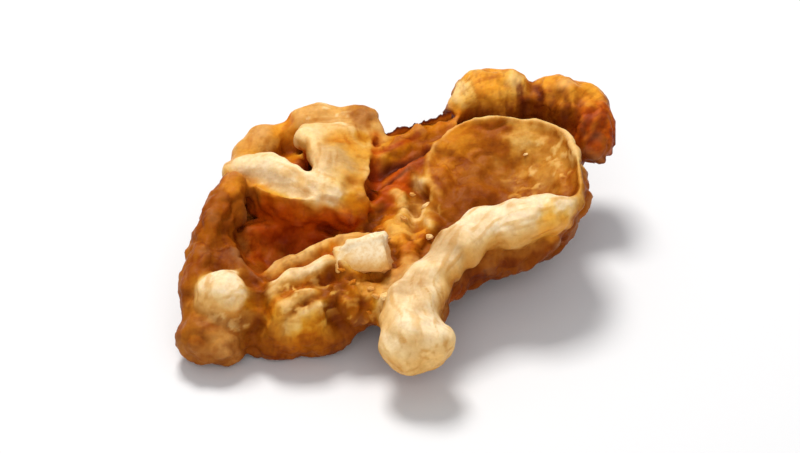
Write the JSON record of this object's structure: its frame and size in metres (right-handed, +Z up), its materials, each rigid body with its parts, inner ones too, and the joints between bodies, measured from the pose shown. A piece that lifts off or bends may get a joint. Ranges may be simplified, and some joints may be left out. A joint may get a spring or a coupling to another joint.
{
  "type": "walnut half",
  "caption": "Half of a shelled walnut kernel with folded lobes, rolled pale rims and deep hollows, lying on its rounded outer side.",
  "frame": {"origin": "middle of the half's box in plan, at the level of the flat spots that it lies on", "axes": "+X across the half from its left pair of lobes to its right pair, +Y from its front notch to its back, +Z up, out of its inner face"},
  "size_m": [0.0342, 0.0308, 0.0114],
  "materials": {
    "kernel_skin": "thin satin skin, a little oily, cream on the crests and amber to dark brown in the hollows"
  },
  "bodies": {
    "root": {"kernel_half": "kernel_skin"}
  },
  "joints": []
}
